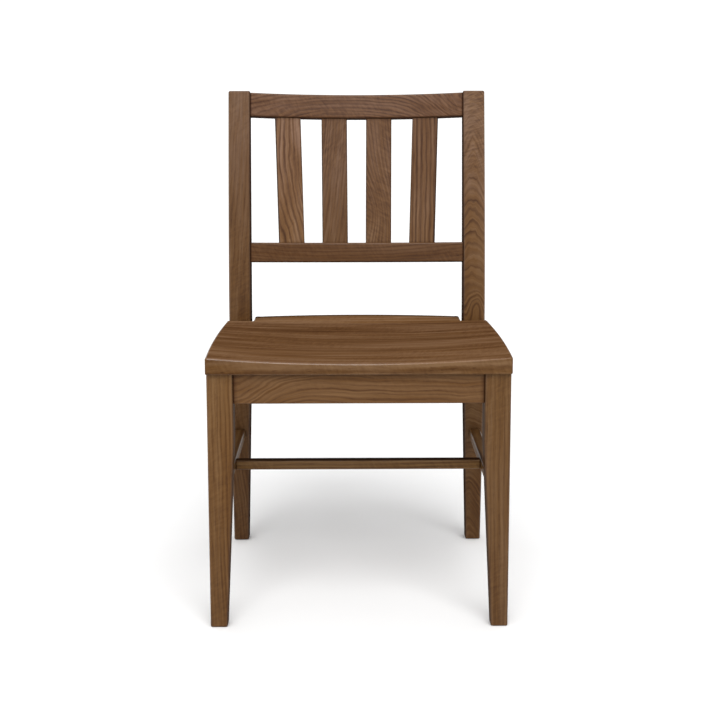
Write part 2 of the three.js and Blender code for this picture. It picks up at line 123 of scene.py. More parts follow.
def endStations(ease):
    # Stations of a bar's rounded end: distance from it and trim of the section follow a quarter circle of
    # radius ease, and inside it lies the end face, whose rings are shares of the section.
    turn = np.linspace(0, np.pi / 2, barMesh["endSteps"] + 1)
    rings = len(barMesh["endRings"])
    distance = np.concatenate([np.zeros(rings), ease * (1 - np.cos(turn)), [ease + barMesh["afterEase"]]])
    trim = np.concatenate([np.full(rings, ease), ease * (1 - np.sin(turn)), [0]])
    share = np.concatenate([barMesh["endRings"], np.ones(len(turn) + 1)])
    return distance, trim, share


def makeMesh(name, points, quads, triangles, attributes):
    # a smooth mesh in the frame's metres, with its point attributes
    mesh = bpy.data.meshes.new(name)
    placed = (points + [0, moveY, 0]) * mm
    faces = quads.tolist() + triangles.tolist()
    mesh.from_pydata(placed.tolist(), [], faces)
    for key, values in attributes.items():
        layer = mesh.attributes.new(key, "FLOAT", "POINT")
        layer.data.foreach_set("value", np.asarray(values, np.float32))
    mesh.shade_smooth()
    mesh.update()
    piece = bpy.data.objects.new(name, mesh)
    bpy.context.scene.collection.objects.link(piece)
    return piece


def closedTube(name, rings, attributes):
    # Quads between neighbouring rings, and each end closed on its middle point.
    count, around = rings.shape[:2]
    points = np.concatenate([rings.reshape(-1, 3), rings[:1].mean(1), rings[-1:].mean(1)])
    i = np.arange(count - 1)[:, None] * around
    j = np.arange(around)[None]
    after = (j + 1) % around
    quads = np.stack([i + j, i + after, i + around + after, i + around + j], -1).reshape(-1, 4)
    j, after = j[0], after[0]
    last = (count - 1) * around
    start = np.stack([np.full(around, count * around), after, j], -1)
    end = np.stack([np.full(around, count * around + 1), last + j, last + after], -1)
    spread = {}
    for key, values in attributes.items():
        grid = np.broadcast_to(values, (count, around))
        spread[key] = np.concatenate([grid.ravel(), [grid[0].mean(), grid[-1].mean()]])
    return makeMesh(name, points, quads, np.concatenate([start, end]), spread)


def bar(name, station, length, shape):
    # A bar of wood from 0 to length. station(t) gives the middle, width, depth and half sizes at t. shape
    # gives the rounding of its edges and of its two ends. The four sides on which it paints shade are the
    # ones along the width, along the depth, against the width and against the depth.
    shape = {**barMesh, **shape}
    loop = roundedLoop()
    easeStart, easeEnd = shape["ends"]
    startAt, startTrim, startShare = endStations(easeStart)
    endAt, endTrim, endShare = endStations(easeEnd)
    steps = int(length / shape["spacing"])
    clear = 2 * shape["afterEase"]
    inner = np.linspace(easeStart + clear, length - easeEnd - clear, steps)
    t = np.concatenate([startAt, inner, length - endAt[::-1]])
    trim = np.concatenate([startTrim, np.zeros(steps), endTrim[::-1]])
    share = np.concatenate([startShare, np.ones(steps), endShare[::-1]])
    at, width, depth, halfWidth, halfDepth = station(t)
    halfWidth = (halfWidth - trim) * share
    halfDepth = (halfDepth - trim) * share
    most = np.minimum(halfWidth, halfDepth) * shape["mostRound"]
    corner = np.minimum(np.maximum(shape["edgeRound"] - trim, shape["leastRound"]), most)
    rings = carry(loop, at, width, depth, halfWidth, halfDepth, corner)
    # edges are worn in the middle of their rounding, at the corners and at the ends
    endWear = 1 - np.abs(2 * ramp(trim, 0, max(easeStart, easeEnd)) - 1)
    wear = np.maximum(loop[:, 4], endWear[:, None])
    # painted shade: the sides named in shaded are darkened as if turned from the lamps, and each end, for
    # nook millimetres, as if in the shade of its joint
    out = np.stack([loop[:, 2], loop[:, 3], -loop[:, 2], -loop[:, 3]], -1)
    paintedShade = (np.clip(out, 0, 1) ** shape["sideFalloff"] * shape["shaded"]).sum(-1)
    if shape["nook"]:
        paintedShade = np.maximum(paintedShade, 1 - ramp(np.minimum(t, length - t), 0, shape["nook"])[:, None])
    return closedTube(name, rings, {"wear": wear, "nook": paintedShade})


class Wire:
    # a node's output in an expression: each operator adds a Math node
    def __init__(self, paint, socket):
        self.paint = paint
        self.socket = socket

    def __add__(self, other):
        return self.paint.calc("ADD", self, other)

    def __sub__(self, other):
        return self.paint.calc("SUBTRACT", self, other)

    def __rsub__(self, other):
        return self.paint.calc("SUBTRACT", other, self)

    def __mul__(self, other):
        return self.paint.calc("MULTIPLY", self, other)

    def __truediv__(self, other):
        return self.paint.calc("DIVIDE", self, other)

    __radd__ = __add__
    __rmul__ = __mul__


class Paint:
    # one material's node tree
    def __init__(self, name):
        self.material = bpy.data.materials.new(name)
        self.material.use_nodes = True
        self.tree = self.material.node_tree
        self.tree.nodes.clear()

    def node(self, kind, settings, values, out=0):
        # any node: its settings first, then a value or a link for each input that is named
        made = self.tree.nodes.new(kind)
        for key, value in settings.items():
            if key == "stops":
                stops = made.color_ramp.elements
                while len(stops) < len(value):
                    stops.new(1.0)
                for stop, (place, colour) in zip(stops, value):
                    stop.position = place
                    stop.color = colour
            else:
                setattr(made, key, value)
        for key, value in values.items():
            if isinstance(value, Wire):
                self.tree.links.new(value.socket, made.inputs[key])
            else:
                made.inputs[key].default_value = value
        return Wire(self, made.outputs[out])

    def calc(self, operation, *values):
        # one Math node on numbers and wires
        return self.node("ShaderNodeMath", {"operation": operation}, dict(enumerate(values)))

    def step(self, value, low, high):
        # smooth step from 0 at low to 1 at high
        settings = {"interpolation_type": "SMOOTHSTEP"}
        return self.node("ShaderNodeMapRange", settings, {"Value": value, "From Min": low, "From Max": high})

    def blend(self, mode, share, first, second):
        # a Mix node on two colours
        settings = {"data_type": "RGBA", "blend_type": mode}
        return self.node("ShaderNodeMix", settings, {0: share, 6: first, 7: second}, 2)

    def stretch(self, place, scale, shift=(0, 0, 0)):
        # a point times one scale for each direction, moved
        values = {"Vector": place, "Location": shift, "Scale": scale}
        return self.node("ShaderNodeMapping", {"vector_type": "POINT"}, values)

    def noise(self, place, scale, detail=2.0, roughness=0.5, distortion=0.0):
        values = {"Vector": place, "Scale": scale, "Detail": detail, "Roughness": roughness,
                  "Distortion": distortion}
        return self.node("ShaderNodeTexNoise", {"noise_dimensions": "3D"}, values)

    def layer(self, place, kind, seed, along=None):
        # one of the grain's noises: its cycles along the grain may be the log's own
        cycles = kind["cycles"] if along is None else (along, *kind["cycles"][1:])
        start = [seed * share for share in kind["start"]]
        return self.noise(self.stretch(place, cycles, start), 1.0, kind["detail"], kind["roughness"],
                          kind.get("distortion", 0.0))

    def attribute(self, name):
        # a number that the piece's mesh holds at each point
        return self.node("ShaderNodeAttribute", {"attribute_name": name}, {}, "Fac")

    def finish(self, values):
        # the shader that all values lead to, and the finished material
        shader = self.node("ShaderNodeBsdfPrincipled", {}, values)
        end = self.tree.nodes.new("ShaderNodeOutputMaterial")
        self.tree.links.new(shader.socket, end.inputs["Surface"])
        return self.material


stain = {
    # screen colours of the ramp and where they stand on it, of rubbed edges, and of the painted shade
    # in the joints and on the sides turned from the lamps
    "dark": (44, 25, 14), "shade": (62, 39, 24), "middle": (80, 54, 34), "light": (99, 71, 48),
    "stopsAt": (0.0, 0.28, 0.52, 0.85), "worn": (106, 74, 44), "paintedShade": (33, 15, 9),
    # factors on them: for each fibre, by height between two levels, which paints a cool sheen on the
    # upper parts, and for the whole piece
    "warm": (1.05, 1.0, 0.84, 1), "cool": (0.98, 1.0, 1.1, 1),
    "low": (1.0, 0.98, 0.84, 1), "high": (0.97, 0.97, 1.04, 1), "highFrom": 0.5, "highTo": 0.78,
    "tint": (1.07, 1.13, 1.07, 1),
    "tone": 0.52,                   # place on the ramp of wood with no figure
    # strength of each part of the figure, as the change of tone from its least to its most
    "rings": 0.34, "fibres": 0.75, "fine": 0.3, "broad": 0.5, "ripples": 0.3, "pores": 0.22,
    "fade": 0.0,                    # how much lighter the wood gets for each metre along the grain: painted shade, darker towards the floor
    "ringSpacing": 0.0062,          # metres between growth rings
    "warp": 0.008,                  # how far the rings wander
    "wobble": 0.003, "uneven": 0.004,   # their small waves, and how uneven the years are
    "rippleHides": 0.0, "rippleTurn": 0.5,  # how far ripples cover the rings, and their slant in radians
    "paintedShadeLeast": 0.84, "paintedShadeMore": 0.2,     # cover of the painted shade, and its unevenness
    "gloss": 0.2, "edgeShine": 0.35, "coatRoughness": 0.3, "rubbed": 0.35,
    "roughness": 0.55, "specular": 0.0, "bump": 0.35, "bumpHeight": 0.0004,
}

# The noises that make the grain: cycles for each metre along the grain, across it and through it, and
# where they start, as shares of the log's seed.
grain = {
    "slow": {"cycles": (3.5, 14, 14), "start": (1, 0, 0), "detail": 1.5, "roughness": 0.45},
    "wander": {"cycles": (20, 70, 70), "start": (0, 1, 0), "detail": 2.0, "roughness": 0.5},
    "fibre": {"cycles": (6, 300, 300), "start": (0, 0, 1), "detail": 2.5, "roughness": 0.55},
    "fine": {"cycles": (26, 900, 900), "start": (1, 1, 0), "detail": 2.0, "roughness": 0.55},
    "broad": {"cycles": (2.6, 40, 40), "start": (1, 0, 1), "detail": 2.0, "roughness": 0.5},
    "patch": {"cycles": (7, 11, 11), "start": (2, 0, 0), "detail": 1.0, "roughness": 0.5},
    "ripple": {"cycles": (230, 44, 60), "start": (0, 1, 1), "detail": 1.5, "roughness": 0.5,
               "distortion": 0.6},
    "pores": {"cycles": (60, 1700, 1700), "start": (0, 0, 1), "detail": 1.0, "roughness": 0.5},
    "years": 70.0,                  # cycles for each metre of the log's radius
    # the values between which a noise turns from nothing to its full part
    "ringedBetween": (0.3, 0.62), "figuredBetween": (0.66, 0.42), "poreBetween": (0.6, 0.7),
    "warmBetween": (0.38, 0.62), "rubbedBetween": (0.3, 0.7),
    # what is left of the rings in plain patches, below the figure, and on the sides of a face
    "ringedLeast": 0.4, "ringsBelow": 0.25, "sideRings": 0.15, "faceBlend": 0.0012,
    "lineLeast": 0.45, "lineMore": 1.1, "lineMean": 0.375,      # strength of a ring's dark line
    "poreOffLine": 0.3,             # share of the pores that lie between the dark lines
    "depthShare": 0.2,              # how fast the fibres change through the wood
    "rippleTwist": 0.5, "rippleStray": 0.08,
    "toneRelief": 0.4, "poreRelief": 0.6, "fineRelief": 0.25,
    "toneSheen": 0.16, "poreSheen": 0.14, "wearSheen": 0.08,
}

grainTurn = {"x": (0, 0, 0), "y": (0, 0, math.pi / 2), "z": (0, -math.pi / 2, 0)}


def swing(noise):
    # a noise between 0 and 1 as a swing to both sides of 0
    return noise - 0.5


def grainPlace(paint, look, centre, direction):
    # The point in the log's own directions: X along the grain, Z across the face and Y through it. Glued
    # boards are counted along Y, and a random number of each gives its own shift and its own tone.
    spot = paint.node("ShaderNodeTexCoord", {}, {}, "Object")
    middle = [centre[0] * mm, (centre[1] + moveY) * mm, centre[2] * mm]
    turn = [a + b for a, b in zip(grainTurn[direction], look.get("turn", (0, 0, 0)))]
    place = paint.node("ShaderNodeMapping", {"vector_type": "TEXTURE"},
                       {"Vector": spot, "Location": middle, "Rotation": turn})
    boardTone = 0.0
    if "boards" in look:
        sideways = paint.node("ShaderNodeSeparateXYZ", {}, {"Vector": place}, "Y")
        number = paint.calc("FLOOR", sideways / look["boards"] + look["boardShift"])
        settings = {"noise_dimensions": "1D"}
        board = paint.node("ShaderNodeTexWhiteNoise", settings, {"W": number + look["seed"]})
        jumpAlong, jumpUp = look["boardJump"]
        jump = paint.node("ShaderNodeCombineXYZ", {}, {"X": board * jumpAlong, "Z": board * jumpUp})
        place = paint.node("ShaderNodeVectorMath", {"operation": "ADD"}, {0: place, 1: jump})
        boardTone = swing(board) * look["boardTone"]
    return spot, place, boardTone


def logRadius(paint, look, place, slow):
    # Distance from the log's middle, which leans to the grain: the root of side squared plus depth
    # squared, plus slow and small waves, plus a bell curve of the distance at each knot.
    along, across, deep = [paint.node("ShaderNodeSeparateXYZ", {}, {"Vector": place}, axis) for axis in "XZY"]
    fromSide = across - look["pith"][0]
    fromBack = deep - look["pith"][1]
    radius = paint.calc("SQRT", fromSide * fromSide + fromBack * fromBack) + along * look["tilt"]
    wander = paint.layer(place, grain["wander"], look["seed"])
    radius = radius + swing(slow) * look["warp"] + swing(wander) * look["wobble"]
    for knot in look.get("knots", ()):
        off = paint.node("ShaderNodeVectorMath", {"operation": "SUBTRACT"}, {0: place, 1: knot["at"]})
        shaped = paint.stretch(off, (1 / knot["long"], 1 / knot["wide"], 1 / knot["wide"]))
        far = paint.node("ShaderNodeVectorMath", {"operation": "LENGTH"}, {0: shaped}, "Value")
        radius = radius + paint.calc("EXPONENT", far * far * -1) * knot["swell"]
    return along, across, deep, radius


def ringLine(paint, look, radius):
    # The dark line of each growth ring: a sine wave of the radius, squared. A noise of the radius itself
    # makes some years wider and stronger than others.
    years = paint.node("ShaderNodeTexNoise", {"noise_dimensions": "1D"},
                       {"W": radius + look["seed"], "Scale": grain["years"]})
    uneven = radius + swing(years) * look["uneven"]
    wave = paint.calc("SINE", uneven * (2 * math.pi / look["ringSpacing"])) / 2 + 0.5
    return wave * wave * (years * grain["lineMore"] + grain["lineLeast"])


def woodMaterial(name, centre, direction, log, finish=stain):
    # Growth rings are shells round the log's middle. Fibres, pores and lines are noises of (place along
    # the grain, distance from the middle), so that they bend with the rings. The tone is a weighted sum
    # of them all, and a ramp of four colours, fibre by fibre warmer or cooler, turns it into wood.
    look = {**finish, **log}
    seed = look["seed"]
    paint = Paint(name)
    spot, place, boardTone = grainPlace(paint, look, centre, direction)
    slow = paint.layer(place, grain["slow"], seed, look.get("warpAlong"))
    along, across, deep, radius = logRadius(paint, look, place, slow)
    line = ringLine(paint, look, radius)
    flow = paint.node("ShaderNodeCombineXYZ", {},
                      {"X": along, "Y": radius, "Z": deep * grain["depthShare"]})
    fibre = paint.layer(flow, grain["fibre"], seed)
    fine = paint.layer(flow, grain["fine"], seed)
    broad = paint.layer(place, grain["broad"], seed)
    patch = paint.layer(place, grain["patch"], seed)
    turn = (0, look["rippleTurn"], look["rippleTurn"] * grain["rippleTwist"])
    slanted = paint.node("ShaderNodeMapping", {"vector_type": "POINT"}, {"Vector": place, "Rotation": turn})
    ripple = paint.layer(slanted, grain["ripple"], seed, look.get("rippleFine"))
    if "rippleFrom" in look:
        figured = paint.step(along + swing(slow) * grain["rippleStray"], *look["rippleFrom"])
    else:
        figured = paint.step(patch, *grain["figuredBetween"])
    ringed = mix(grain["ringedLeast"], 1, paint.step(patch, *grain["ringedBetween"]))
    ringed = ringed - figured * look["rippleHides"]
    if "ringsFrom" in look:
        # plain wood in the lower part, and the figure above it
        ringed = ringed * mix(grain["ringsBelow"], 1, paint.step(along, *look["ringsFrom"]))
    if "faceHalf" in look:
        # quieter rings on the sides, beyond the half width of the face
        sideFrom = look["faceHalf"]
        beyond = paint.step(paint.calc("ABSOLUTE", across), sideFrom, sideFrom + grain["faceBlend"])
        ringed = ringed * mix(1, grain["sideRings"], beyond)
    pores = paint.layer(flow, grain["pores"], seed)
    pore = paint.step(pores, *grain["poreBetween"]) * mix(grain["poreOffLine"], 1, line)
    # along the grain, fade paints shade: the wood is darker towards the floor
    tone = (look["tone"] + boardTone + along * look["fade"]
            - (line - grain["lineMean"]) * ringed * look["rings"]
            + swing(fibre) * look["fibres"] + swing(fine) * look["fine"] + swing(broad) * look["broad"]
            + swing(ripple) * figured * look["ripples"] - pore * look["pores"])
    stopColours = [linear(*look[key]) for key in ("dark", "shade", "middle", "light")]
    stops = list(zip(look["stopsAt"], stopColours))
    colour = paint.node("ShaderNodeValToRGB", {"stops": stops}, {"Fac": tone})
    warmth = paint.step((broad + fibre) / 2, *grain["warmBetween"])
    tinted = paint.blend("MIX", warmth, look["warm"], look["cool"])
    colour = paint.blend("MULTIPLY", 1.0, colour, tinted)
    # painted sheen: the colour turns cooler from highFrom to highTo, as the frontal light's sheen on the
    # upper back
    height = paint.node("ShaderNodeSeparateXYZ", {}, {"Vector": spot}, "Z")
    low = [a * b for a, b in zip(look["low"], look["tint"])]
    high = [a * b for a, b in zip(look["high"], look["tint"])]
    heightSheen = paint.blend("MIX", paint.step(height, look["highFrom"], look["highTo"]), low, high)
    colour = paint.blend("MULTIPLY", 1.0, colour, heightSheen)
    wear = paint.attribute("wear")
    nook = paint.attribute("nook")
    rubbed = wear * paint.step(fibre, *grain["rubbedBetween"]) * look["rubbed"]
    colour = paint.blend("MIX", rubbed, colour, linear(*look["worn"]))
    if "topLightTint" in look:
        # painted light: the upper face is made paler, as if lit from above
        litTop = paint.blend("MULTIPLY", 1.0, colour, look["topLightTint"])
        colour = paint.blend("MIX", paint.attribute("top"), colour, litTop)
    # painted shade: the nook attribute darkens the joints and the sides turned from the lamps
    cover = nook * (slow * look["paintedShadeMore"] + look["paintedShadeLeast"])
    colour = paint.blend("MIX", cover, colour, linear(*look["paintedShade"]))
    relief = tone * grain["toneRelief"] - pore * grain["poreRelief"] + fine * grain["fineRelief"]
    normal = paint.node("ShaderNodeBump", {}, {"Strength": look["bump"], "Distance": look["bumpHeight"],
                                               "Height": relief})
    roughness = (look["roughness"] - swing(tone) * grain["toneSheen"] + pore * grain["poreSheen"]
                 - wear * grain["wearSheen"])
    return paint.finish({"Base Color": colour, "Roughness": roughness, "Normal": normal,
                         "Specular IOR Level": look["specular"],
                         "Coat Weight": (wear * look["edgeShine"] + look["gloss"]) * (1 - nook),
                         "Coat Roughness": look["coatRoughness"]})


def settle(piece, node, centre, direction, log):
    # a finished piece: its wood, its body and the CAD node that it stands for
    piece.data.materials.append(woodMaterial(node + "_stain", centre, direction, log))
    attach(piece, "root")
    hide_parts(node)


def frameBar(node, station, length, shape, centre, direction, log):
    # a bar of the frame with all that settles it
    settle(bar(node + "_wood", station, length, shape), node, centre, direction, log)


# innerShade paints shade on the leg's inner face
frontLeg = {"outer": 243.4, "size": 42.2, "foot": 27.8, "taperFrom": 310.0, "top": 421.7,
            "edgeRound": 3.2, "ends": (2.6, 0.8), "innerShade": 0.55, "spacing": 6.0,
            "grainMiddle": (223.0, 20.0, 210.0)}


def frontLegSize(z):
    # square side of the leg, which shrinks in a straight line from taperFrom down to the foot
    return mix(frontLeg["size"], frontLeg["foot"], ramp(-z, -frontLeg["taperFrom"], 0))


def innerShade(side, share):
    # the sides' shares of painted shade: all on the face that looks towards the chair's middle
    return (share, 0, 0, 0) if side < 0 else (0, 0, share, 0)


def frontLegStation(side):
    # upright square whose outer and front faces stay in one plane while its side shrinks
    def station(t):
        half = frontLegSize(t) / 2
        at = vector(side * (frontLeg["outer"] - half), half, t)
        return at, (1, 0, 0), (0, 1, 0), half, half
    return station


# Each log says where its middle ("pith") lies from the piece, in metres: to the side of its face, and
# behind it. Other values replace those of the stain.
# fade paints shade on the legs, darker towards the floor
legLogs = {
    "left": {"seed": 3.1, "pith": (0.15, 0.03), "tilt": 0.01, "rings": 0.12, "fade": 0.45,
             "tint": (1.11, 1.17, 1.04, 1)},
    "right": {"seed": 7.7, "pith": (-0.13, 0.05), "tilt": -0.01, "rings": 0.16, "fade": 0.4,
              "tint": (1.06, 1.17, 1.2, 1)},
}
sides = {"left": -1, "right": 1}


def mirrored(side, point):
    # a point of the right half, or its mirror image on the left
    return (side * point[0], *point[1:])


for sideName, side in sides.items():
    shape = {**frontLeg, "shaded": innerShade(side, frontLeg["innerShade"])}
    frameBar(f"front_leg_{sideName}", frontLegStation(side), frontLeg["top"], shape,
             mirrored(side, frontLeg["grainMiddle"]), "z", legLogs[sideName])
print("front legs made")

# innerShade paints shade on the post's inner face
post = {
    "height": 867.4, "inner": 198.0, "outer": 238.5, "footInner": 212.0, "footOuter": 240.7,
    "taperFrom": 400.0, "flareFrom": 444.0, "seatFront": 406.3, "seatLevel": 400.0,
    "footDepth": 30.0, "seatDepth": 46.0, "topDepth": 25.0, "deepestAt": 415.0, "depthRunsOut": 41.5,
    # heights, and the backward slope of the front face at each, straight between them
    "slopeAt": (0, 330, 370, 430, 500, 867.4), "slope": (-0.1854, -0.1854, 0, 0, 0.1136, 0.2272),
    "edgeRound": 3.4, "ends": (2.6, 3.0), "innerShade": 0.9,
    "grainMiddle": (218.0, 440.0, 433.0),
}
levels = np.append(np.arange(0, post["height"]), post["height"])
slopes = np.interp(levels, post["slopeAt"], post["slope"])
summed = np.concatenate([[0], np.cumsum((slopes[1:] + slopes[:-1]) / 2 * np.diff(levels))])
summed += post["seatFront"] - np.interp(post["seatLevel"], levels, summed)


def postFront(z):
    # front face of the post: the slope added up from the seat
    return np.interp(z, levels, summed)


def postDepth(z):
    # a quarter wave from the foot to the seat, and another that dies away to the top
    swell = np.sin(np.pi / 2 * np.minimum(z / post["deepestAt"], 1))
    fade = np.cos(np.pi / 2 * np.maximum(z - post["deepestAt"], 0)
                  / (post["height"] + post["depthRunsOut"] - post["deepestAt"]))
    low = mix(post["footDepth"], post["seatDepth"], swell)
    high = mix(post["topDepth"], post["seatDepth"], fade)
    return np.where(z < post["deepestAt"], low, high)


def postStation(side):
    # Rectangle between an inner and an outer line. Each is upright down to its own turning height and
    # slants straight to the foot below it. Above the seat the section tips back evenly, until it is
    # square to the slope at the top.
    def station(t):
        inner = mix(post["inner"], post["footInner"], ramp(-t, -post["taperFrom"], 0))
        outer = mix(post["outer"], post["footOuter"], ramp(-t, -post["flareFrom"], 0))
        tip = math.atan(post["slope"][-1]) * ramp(t, post["flareFrom"], post["height"])
        depth = vector(0, np.cos(tip), -np.sin(tip))
        half = postDepth(t) / 2
        at = vector(side * (inner + outer) / 2, postFront(t), t) + depth * half[:, None]
        return at, (1, 0, 0), depth, (outer - inner) / 2, half
    return station


# fade paints shade on the posts, darker towards the floor
postLogs = {
    "left": {"seed": 12.3, "fade": 0.3, "pith": (0.12, 0.05), "tilt": 0.01, "rings": 0.1, "ripples": 0.35,
             "fibres": 0.55, "edgeShine": 0.7, "tint": (1.03, 1.11, 1.13, 1)},
    "right": {"seed": 18.9, "fade": 0.25, "pith": (0.002, 0.015), "tilt": 0.5, "rings": 0.34, "ripples": 0.85,
              "warp": 0.008, "wobble": 0.009, "ringSpacing": 0.0072, "uneven": 0.003, "rippleTurn": 0.3,
              "rippleFrom": (0.25, 0.32), "rippleHides": 0.8, "rippleFine": 300,
              "faceHalf": 0.0186, "ringsFrom": (-0.03, 0.02), "edgeShine": 0.7, "tint": (1.16, 1.27, 1.32, 1),
              "knots": [{"at": (0.038, -0.03, -0.004), "long": 0.022, "wide": 0.014, "swell": -0.016}]},
}
for sideName, side in sides.items():
    shape = {**post, "shaded": innerShade(side, post["innerShade"])}
    frameBar(f"rear_post_{sideName}", postStation(side), post["height"], shape,
             mirrored(side, post["grainMiddle"]), "z", postLogs[sideName])
print("rear posts made")

# nook paints shade at the rails' ends against the posts, and shaded paints it on their undersides
rails = {
    "bow": 22.0, "inset": 2.0, "thick": 20.0, "half": 197.8,
    "ends": (0.7, 0.7), "nook": 3.0, "shaded": (0, 0, 0, 0.8),
    "crest": {"middle": 842.9, "tall": 44.6, "edgeRound": 3.4},
    "lower": {"middle": 571.2, "tall": 36.8, "edgeRound": 3.6},
}
railRadius = (post["inner"] ** 2 + rails["bow"] ** 2) / (2 * rails["bow"])


def railArc(x):
    # how far the rail lies behind its ends: a circle's arc through them, bow deep in the middle
    return np.sqrt(railRadius ** 2 - x ** 2) - math.sqrt(railRadius ** 2 - post["inner"] ** 2)


def backPlane(z):
    # the plane that a rail lies in, tangent to the posts' front faces at the rail's middle height
    lean = math.atan(np.interp(z, levels, slopes))
    back = np.array([0, math.cos(lean), -math.sin(lean)])
    up = np.array([0, math.sin(lean), math.cos(lean)])
    return np.array([0, float(postFront(z)), z]), back, up


def inRail(rail, x, upward=0.0):
    # a point in the middle of a rail's thickness
    at, back, up = backPlane(rail["middle"])
    x = np.asarray(x, float)
    deep = rails["inset"] + rails["thick"] / 2 + railArc(x)
    return at + vector(x, 0, 0) + deep[..., None] * back + up * upward


def railStation(rail):
    # upright rectangle that keeps its direction along the arc
    def station(t):
        _, back, up = backPlane(rail["middle"])
        return inRail(rail, t - rails["half"]), back, up, rails["thick"] / 2, rail["tall"] / 2
    return station


railLogs = {
    "crest": {"seed": 23.4, "pith": (-0.12, 0.06), "tilt": 0.01, "warp": 0.008, "wobble": 0.005,
              "rings": 0.32, "ringSpacing": 0.0046, "ripples": 0.55, "rippleTurn": 0.7,
              "tint": (1.09, 1.11, 1.15, 1),
              "knots": [{"at": (-0.2, 0.0, -0.035), "long": 0.07, "wide": 0.03, "swell": 0.04},
                        {"at": (0.215, 0.0, -0.005), "long": 0.075, "wide": 0.05, "swell": 0.06}]},
    "lower": {"seed": 29.8, "pith": (0.13, 0.06), "tilt": 0.006, "rings": 0.16, "fibres": 0.45,
              "ripples": 0.4, "tint": (0.93, 0.92, 0.9, 1)},
}
railNodes = {"crest": "crest_rail", "lower": "lower_back_rail"}
for key, node in railNodes.items():
    rail = rails[key]
    frameBar(node, railStation(rail), 2 * rails["half"], {**rails, **rail},
             inRail(rail, 0.0), "x", railLogs[key])

# nook paints shade at the slat's ends against the rails, and shaded paints it on its two sides
slat = {"wide": 47.7, "thick": 12.0, "housed": 8.0, "edgeRound": 2.4, "ends": (0.6, 0.6),
        "nook": 10.5, "shaded": (0.95, 0, 0.95, 0), "lean": -0.155,
        "bottom": (-122.0, -40.7, 40.7, 122.0), "top": (-129.0, -42.0, 42.0, 129.0)}


def slatStation(index):
    # Straight board from the lower rail's top edge to the crest's lower edge, let into both; its face
    # follows the tangent of the rails' arc.
    bottom = inRail(rails["lower"], slat["bottom"][index], rails["lower"]["tall"] / 2)
    top = inRail(rails["crest"], slat["top"][index], -rails["crest"]["tall"] / 2)
    travel = (top - bottom) / np.linalg.norm(top - bottom)
    middle = (slat["bottom"][index] + slat["top"][index]) / 2
    tangent = np.array([1, -middle / math.sqrt(railRadius ** 2 - middle ** 2), 0])
    depth = np.cross(travel, tangent / np.linalg.norm(tangent))
    depth /= np.linalg.norm(depth)
    width = np.cross(depth, travel)
    start = bottom - travel * slat["housed"]

    def station(t):
        return start + t[:, None] * travel, width, depth, slat["wide"] / 2, slat["thick"] / 2
    return station, np.linalg.norm(top - bottom) + 2 * slat["housed"], (bottom + top) / 2


slatLogs = [
    {"seed": 31.2, "pith": (0.09, 0.02), "tilt": 0.03, "warp": 0.012, "warpAlong": 6, "wobble": 0.007,
     "rings": 0.42, "ringSpacing": 0.0074, "uneven": 0.008, "ripples": 0.15, "tint": (1.52, 1.72, 1.96, 1),
     "knots": [{"at": (-0.17, 0.0, 0.0), "long": 0.12, "wide": 0.09, "swell": -0.05}]},
    {"seed": 37.5, "pith": (0.15, 0.06), "tilt": 0.0, "warp": 0.004, "rings": 0.16, "ringSpacing": 0.0044,
     "ripples": 0.5, "fibres": 0.55, "rippleTurn": 0.9, "rippleFrom": (0.0, 0.05),
     "tint": (1.16, 1.27, 1.37, 1)},
    {"seed": 41.9, "pith": (-0.14, 0.06), "tilt": -0.06, "rings": 0.26, "ripples": 0.6, "rippleTurn": -0.6,
     "fibres": 0.7, "tint": (1.16, 1.24, 1.28, 1),
     "knots": [{"at": (-0.06, 0.0, 0.03), "long": 0.06, "wide": 0.05, "swell": 0.03}]},
    {"seed": 47.3, "pith": (0.2, 0.02), "tilt": 0.03, "warp": 0.003, "wobble": 0.005, "rings": 0.4,
     "ringSpacing": 0.0082, "uneven": 0.006, "ripples": 0.1, "tint": (1.13, 1.19, 1.2, 1)},
]
for index, log in enumerate(slatLogs):
    node = f"back_slat_{index + 1}"
    station, length, centre = slatStation(index)
    frameBar(node, station, length, slat, centre, "z", {"turn": (slat["lean"], 0, 0), **log})
print("back rails and slats made")


seatBoard = {
    "front": seatFront, "frontTop": 450.0, "rearTop": 445.0, "under": 422.0, "middle": (0.0, 232.0, 436.0),
    "scoop": 10.0, "scoopFadesFrom": 260.0,
    "halfMax": 247.6, "widestAt": 172.0, "sideCurve": 1.0e-4,
    "tongueHalf": 193.5, "tongueRear": 456.0, "ear": 406.0,
    "cornerRound": 4.0, "earRound": 2.5, "notchRound": 4.0, "tongueRound": 6.0,
    "topRound": 3.2, "underRound": 2.2,
    # painted shade: width of the dark rear edge, its strength, and where it turns dark in front of the posts
    "rearShade": 24.0, "rearShadeShare": 0.9, "postShade": (3.0, 0.5),
    # wear: its part on the lower edge, and how much of it is lost between two places from left to right
    "underWear": 0.7, "wearLost": 0.7, "wearLostBetween": (10.0, 130.0),
}
# How finely the seat is made: points along each stretch of half the outline, and rings of its faces.
seatMesh = {
    "front": 60, "corner": 10, "side": 84, "smallCorner": 7, "shelf": 12, "cheek": 12, "rear": 50,
    "faceFrom": 0.02, "faceTo": 0.93, "faceRings": 46, "faceRim": (0.95, 0.965, 0.98, 0.992),
    "roundSteps": 8, "wallRings": (0.08, 0.35, 0.65, 0.92),
    "underFrom": 0.99, "underTo": 0.03, "underRings": 14,
}


def seatHalf(y):
    # half width of the seat: a shallow parabola, widest a little in front of the middle
    return seatBoard["halfMax"] - seatBoard["sideCurve"] * (y - seatBoard["widestAt"]) ** 2


def seatRear(x):
    # rear edge of the tongue between the posts, bowed like the rails
    return seatBoard["tongueRear"] + rails["bow"] * (1 - (x / seatBoard["tongueHalf"]) ** 2)


